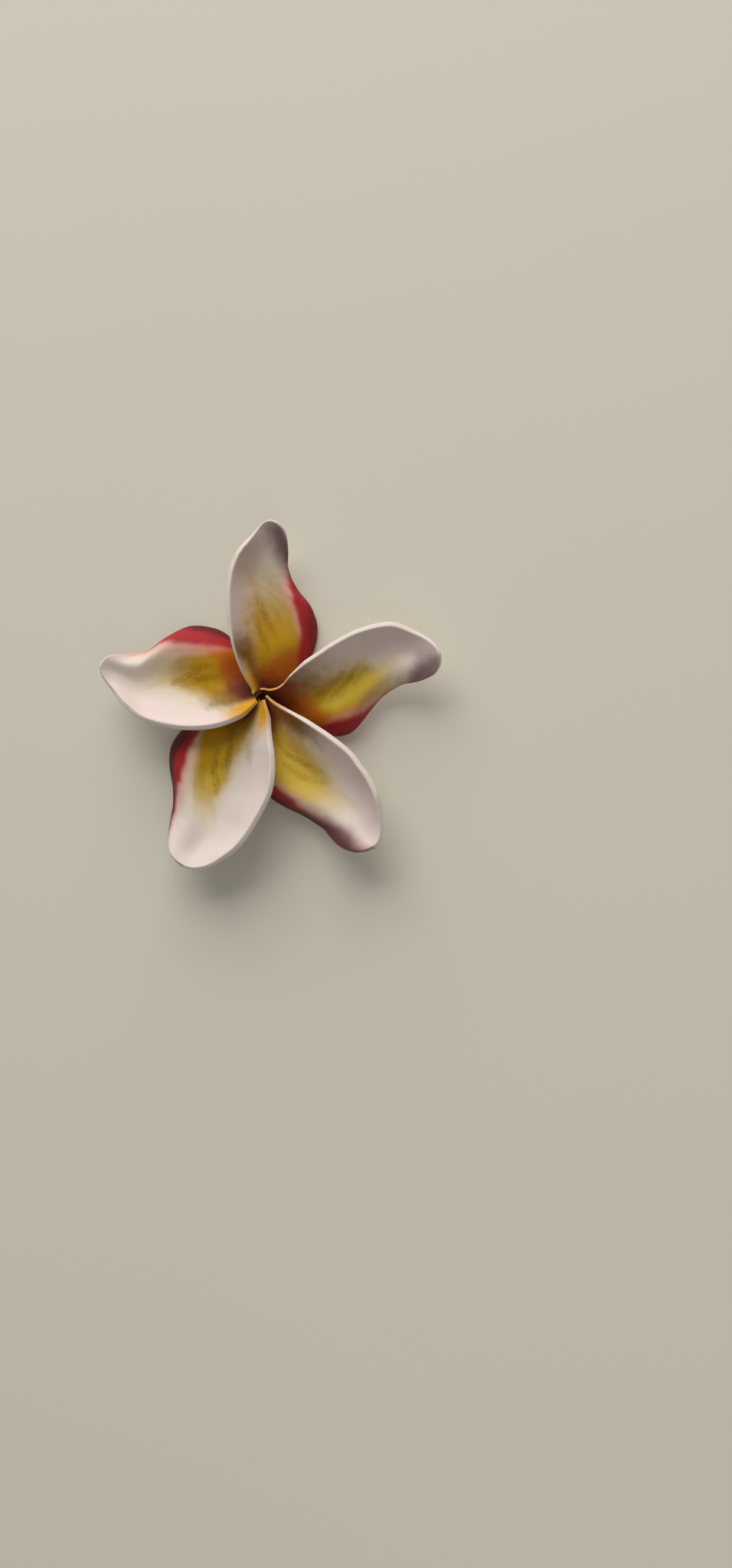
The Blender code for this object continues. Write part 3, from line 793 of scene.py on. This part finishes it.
def painted_material(name, petal, effects, paint):
    """Foam painted for one petal, bare on its cut edge and its back."""
    material = bpy.data.materials.new(name + "_painted_foam")
    material.use_nodes = True
    w = Wiring(material.node_tree)
    shader = material.node_tree.nodes["Principled BSDF"]
    along, across, half = w.attribute("along"), w.attribute("across"), w.attribute("half_width")
    depth, reach = w.attribute("depth"), w.attribute("reach")
    flat = w.attribute("flat", "Vector")
    place = w.add("ShaderNodeTexCoord").outputs["Object"]
    grain = w.add("ShaderNodeGroup", node_tree=effects["foam_grain"])
    w.feed(grain.inputs["Place"], place)

    colour = w.mix(w.math("MULTIPLY", grain.outputs["Mottle"], 0.35), paint.foam, FACE_MOTTLE)
    overspray = None
    for coat, low, high, softness, density, droplets in COATS[name]:
        above = w.math("SUBTRACT", across, edge_curve(w, along, low))
        below = w.math("SUBTRACT", edge_curve(w, along, high), across)
        inside = w.math("MULTIPLY", w.math("MINIMUM", above, below), half)
        end = high[-1][0]
        if end < LAST_END:
            short = w.math("MULTIPLY", w.math("SUBTRACT", end, along), petal["length"] * END_FADE)
            inside = w.math("MINIMUM", inside, short)
        spray = w.add("ShaderNodeGroup", node_tree=effects["airbrush"], named={
            "Inside": inside, "Softness": softness, "Density": density, "Droplets": droplets, "Place": flat,
        })
        mask = spray.outputs["Mask"]
        colour = w.mix(mask, colour, getattr(paint, coat))
        if coat in ("red", "mauve_and_shade"):
            overspray = mask if overspray is None else w.math("MAXIMUM", overspray, mask)
    for start, start_across, end, end_across, width, density in STROKES[name]:
        ends = [
            (share * petal["length"], place_across * float(half_width(petal, np.array([share]))[0]), 0.0)
            for share, place_across in ((start, start_across), (end, end_across))
        ]
        stroke = w.add("ShaderNodeGroup", node_tree=effects["brush_stroke"], named={
            "Place": flat, "Start": ends[0], "End": ends[1], "Width": width, "Softness": STROKE_SOFTNESS,
            "Density": STROKE_DENSITY * density,
        })
        colour = w.mix(stroke.outputs["Mask"], colour, paint.stroke)

    # The cut edge and the back are bare foam, stained yellow towards the axis.
    stain_reach = w.math("ADD", reach, w.math("MULTIPLY", grain.outputs["Mottle"], 3.0))
    stain_and_shade = w.ramp(stain_reach, 6.0, 14.0, 0.85, 0.0)
    bare = w.mix(w.math("MULTIPLY", grain.outputs["Mottle"], 0.5), paint.foam, CUT_MOTTLE)
    bare = w.mix(stain_and_shade, bare, EDGE_STAIN)
    # Red and mauve drift a little way over the lobe's cut edge as maroon: partly overspray, and partly
    # painted shade where the mauve is.
    drift = w.math("MULTIPLY", w.ramp(depth, 0.15, 0.8, 0.75, 0.06), w.ramp(across, -0.9, -0.5, 1.0, 0.0))
    edge_spray_and_shade = w.math("MULTIPLY", overspray, drift)
    bare = w.mix(edge_spray_and_shade, bare, paint.maroon)
    colour = w.mix(w.ramp(depth, 0.0, 0.28), colour, bare)
    pits = w.ramp(grain.outputs["Pores"], 0.0, 0.35, 0.04, 0.0)
    pitted = w.mix(pits, colour, PORE_SHADE, blend="MULTIPLY")
    w.feed(shader.inputs["Base Color"], pitted)

    rough = w.ramp(grain.outputs["Mottle"], 0.3, 0.7, 0.50, 0.62, kind="LINEAR")
    rougher = w.math("MULTIPLY", w.ramp(depth, 0.0, 0.2), 0.12)
    w.feed(shader.inputs["Roughness"], w.math("ADD", rough, rougher))
    cut = w.ramp(w.math("MULTIPLY", depth, w.math("SUBTRACT", 1.0, depth)), 0.02, 0.1)
    height = w.math("MULTIPLY", grain.outputs["Height"], w.ramp(cut, 0.0, 1.0, 0.5, 1.4))
    bump = w.add("ShaderNodeBump", named={"Height": height, "Strength": 0.5, "Distance": 0.05 * MM})
    w.feed(shader.inputs["Normal"], bump.outputs[0])
    shader.inputs["Sheen Weight"].default_value = 0.02
    shader.inputs["Sheen Roughness"].default_value = 0.5
    shader.inputs["Specular IOR Level"].default_value = 0.16
    return material


def tube_material(name, effects, colour, shade, stain_and_shade):
    """Unpainted foam, darkened to the throat's colour over its top as painted shade in the hole."""
    material = bpy.data.materials.new(name)
    material.use_nodes = True
    w = Wiring(material.node_tree)
    shader = material.node_tree.nodes["Principled BSDF"]
    place = w.add("ShaderNodeTexCoord").outputs["Object"]
    grain = w.add("ShaderNodeGroup", node_tree=effects["foam_grain"])
    w.feed(grain.inputs["Place"], place)
    base = w.mix(grain.outputs["Mottle"], colour, shade)
    height = w.add("ShaderNodeSeparateXYZ", place).outputs["Z"]
    # Painted shade: the tube's top takes the throat's dark colour.
    base = w.mix(w.ramp(height, HOLE_SHADE_FROM, HOLE_SHADE_TO), base, stain_and_shade)
    pits = w.ramp(grain.outputs["Pores"], 0.0, 0.35, 0.15, 0.0)
    w.feed(shader.inputs["Base Color"], w.mix(pits, base, TUBE_PORE_SHADE, blend="MULTIPLY"))
    w.feed(shader.inputs["Roughness"], w.ramp(grain.outputs["Mottle"], 0.3, 0.7, 0.55, 0.7, kind="LINEAR"))
    pores = {"Height": grain.outputs["Height"], "Strength": 0.6, "Distance": 0.06 * MM}
    bump = w.add("ShaderNodeBump", named=pores)
    w.feed(shader.inputs["Normal"], bump.outputs[0])
    return material


def shared_effects():
    """The effects that several materials use, built once."""
    makers = {"airbrush": airbrush_group, "brush_stroke": brush_group, "foam_grain": foam_grain_group}
    return {name: bpy.data.node_groups.get(name) or maker() for name, maker in makers.items()}


# --------------------------------------------------------------------------------------------------
# The stage
# --------------------------------------------------------------------------------------------------

FLOOR_HALF_SIZE = 2.5
FLOOR_TONES = (tone(223, 219, 204), tone(229, 225, 212))

SKY_COLOUR = (1.0, 0.97, 0.92, 1.0)
SKY_STRENGTH = 0.24

# Each light's name, place and size in metres, power in watts and colour.
LIGHTS = (
    ("key_light", (-0.24, 1.92, 1.08), 2.20, 55.0, (1.0, 0.97, 0.93)),
    ("fill_light", (0.30, -0.55, 0.70), 0.60, 0.5, (1.0, 0.98, 0.96)),
)

# The camera stands CAMERA_DISTANCE metres from the middle of the flower's face, off its axis to the right and
# below. It looks past the flower by two more angles, which puts the flower to the left of the view's middle
# and above it. The lens and the sensor are in mm.
FACE_HEIGHT = 10.5 * MM
CAMERA_DISTANCE = 0.386
OFF_RIGHT, OFF_DOWN = math.radians(16.0), math.radians(5.0)
PAST_RIGHT, PAST_DOWN = math.radians(5.13), math.radians(4.29)
SENSOR_HEIGHT = 36.0
LENS = 27.19


def lay_floor(scene):
    """A plain pale sheet of paper under the flower."""
    floor_mesh = bpy.data.meshes.new("floor")
    shape = bmesh.new()
    bmesh.ops.create_grid(shape, x_segments=1, y_segments=1, size=FLOOR_HALF_SIZE)
    shape.to_mesh(floor_mesh)
    shape.free()
    floor = bpy.data.objects.new("floor", floor_mesh)
    scene.collection.objects.link(floor)
    paper = bpy.data.materials.new("floor_paper")
    paper.use_nodes = True
    w = Wiring(paper.node_tree)
    shader = paper.node_tree.nodes["Principled BSDF"]
    place = w.add("ShaderNodeTexCoord").outputs["Object"]
    w.feed(shader.inputs["Base Color"], w.mix(w.noise(place, 2.0, 3.0), *FLOOR_TONES))
    shader.inputs["Roughness"].default_value = 0.8
    floor_mesh.materials.append(paper)


def light_studio(scene):
    """An even warm surround and two soft lights, turned towards the flower."""
    world = bpy.data.worlds.new("studio")
    world.use_nodes = True
    background = world.node_tree.nodes["Background"]
    background.inputs["Color"].default_value = SKY_COLOUR
    background.inputs["Strength"].default_value = SKY_STRENGTH
    scene.world = world
    for label, place, size, energy, colour in LIGHTS:
        light = bpy.data.lights.new(label, "AREA")
        light.energy, light.size, light.color = energy, size, colour
        lamp = bpy.data.objects.new(label, light)
        lamp.location = place
        lamp.rotation_euler = (-Vector(place)).to_track_quat("-Z", "Y").to_euler()
        scene.collection.objects.link(lamp)


def set_camera(scene):
    """Looks down on the flower's face, from its right and slightly below."""
    centre = Vector((0.0, 0.0, FACE_HEIGHT))
    toward = Vector((math.tan(OFF_RIGHT), -math.tan(OFF_DOWN), 1.0)).normalized()
    eye = centre + toward * CAMERA_DISTANCE
    right = Vector((0.0, 1.0, 0.0)).cross(toward).normalized()
    up = toward.cross(right)
    aim = centre + CAMERA_DISTANCE * (math.tan(PAST_RIGHT) * right - math.tan(PAST_DOWN) * up)
    camera = bpy.data.cameras.new("camera")
    camera.sensor_fit = "VERTICAL"
    camera.sensor_height = SENSOR_HEIGHT
    camera.lens = LENS
    camera.clip_start, camera.clip_end = 0.01, 20.0
    viewer = bpy.data.objects.new("camera", camera)
    viewer.location = eye
    back = (eye - aim).normalized()
    side = up.cross(back).normalized()
    viewer.rotation_euler = Matrix((side, back.cross(side), back)).transposed().to_euler()
    scene.collection.objects.link(viewer)
    scene.camera = viewer


# --------------------------------------------------------------------------------------------------
# Operators
# --------------------------------------------------------------------------------------------------


class FRANGIPANI_OT_petals(bpy.types.Operator):
    """Make the five formed and painted petals"""

    bl_idname = "frangipani.petals"
    bl_label = "Petals"

    def execute(self, context):
        sizes, paint = context.scene.frangipani_sizes, context.scene.frangipani_paint
        effects = shared_effects()
        tree = formed_sheet_tree()
        for number, (name, petal) in enumerate(PETALS.items(), start=1):
            piece = run_tree(name + "_foam", lay_sheet(name + "_sheet", petal), tree, {
                "Thickness": sizes.thickness, "Base Thinning": sizes.thinning, "Edge Bulge": sizes.bulge,
                "Cut Roughness": sizes.roughness, "Cut Spacing": CUT_SPACING, "Waviness": sizes.waviness,
                "Wave Length": sizes.wave_length, "Layers": WALL_LAYERS, "Seed": number,
                "Foam": painted_material(name, petal, effects, paint),
            })
            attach(piece, "root")
            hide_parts(name)
        return {"FINISHED"}


class FRANGIPANI_OT_tube(bpy.types.Operator):
    """Finish the stub that the petals meet on"""

    bl_idname = "frangipani.tube"
    bl_label = "Tube"

    def execute(self, context):
        paint = context.scene.frangipani_paint
        # The throat's colour serves as the painted shade at the top of the tube.
        material = tube_material("tube_foam", shared_effects(), TUBE_FOAM, TUBE_MOTTLE, paint.throat)
        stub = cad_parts["corolla_tube"]
        for slot in stub.material_slots:
            slot.material = material
        return {"FINISHED"}


class FRANGIPANI_OT_stage(bpy.types.Operator):
    """Lay the floor, hang the lights and set the camera"""

    bl_idname = "frangipani.stage"
    bl_label = "Stage"

    def execute(self, context):
        lay_floor(context.scene)
        light_studio(context.scene)
        set_camera(context.scene)
        context.scene.view_settings.view_transform = "Standard"
        return {"FINISHED"}


class FRANGIPANI_PT_panel(bpy.types.Panel):
    """Lists the blossom's steps, sizes and colours"""

    bl_idname = "FRANGIPANI_PT_panel"
    bl_label = "Foam Frangipani"
    bl_space_type = "VIEW_3D"
    bl_region_type = "UI"
    bl_category = "Frangipani"

    def draw(self, context):
        layout = self.layout
        for operator in STEPS:
            layout.operator(operator.bl_idname)
        for group in (context.scene.frangipani_sizes, context.scene.frangipani_paint):
            box = layout.box()
            for key in group.__annotations__:
                box.prop(group, key)


STEPS = (FRANGIPANI_OT_petals, FRANGIPANI_OT_tube, FRANGIPANI_OT_stage)
CLASSES = (FoamPaint, FoamSizes, *STEPS, FRANGIPANI_PT_panel)


def register():
    for cls in CLASSES:
        bpy.utils.register_class(cls)
    bpy.types.Scene.frangipani_paint = bpy.props.PointerProperty(type=FoamPaint)
    bpy.types.Scene.frangipani_sizes = bpy.props.PointerProperty(type=FoamSizes)


def unregister():
    del bpy.types.Scene.frangipani_sizes, bpy.types.Scene.frangipani_paint
    for cls in reversed(CLASSES):
        bpy.utils.unregister_class(cls)


def main():
    register()
    bpy.ops.frangipani.petals()
    bpy.ops.frangipani.tube()
    bpy.ops.frangipani.stage()


if __name__ == "__main__":
    main()
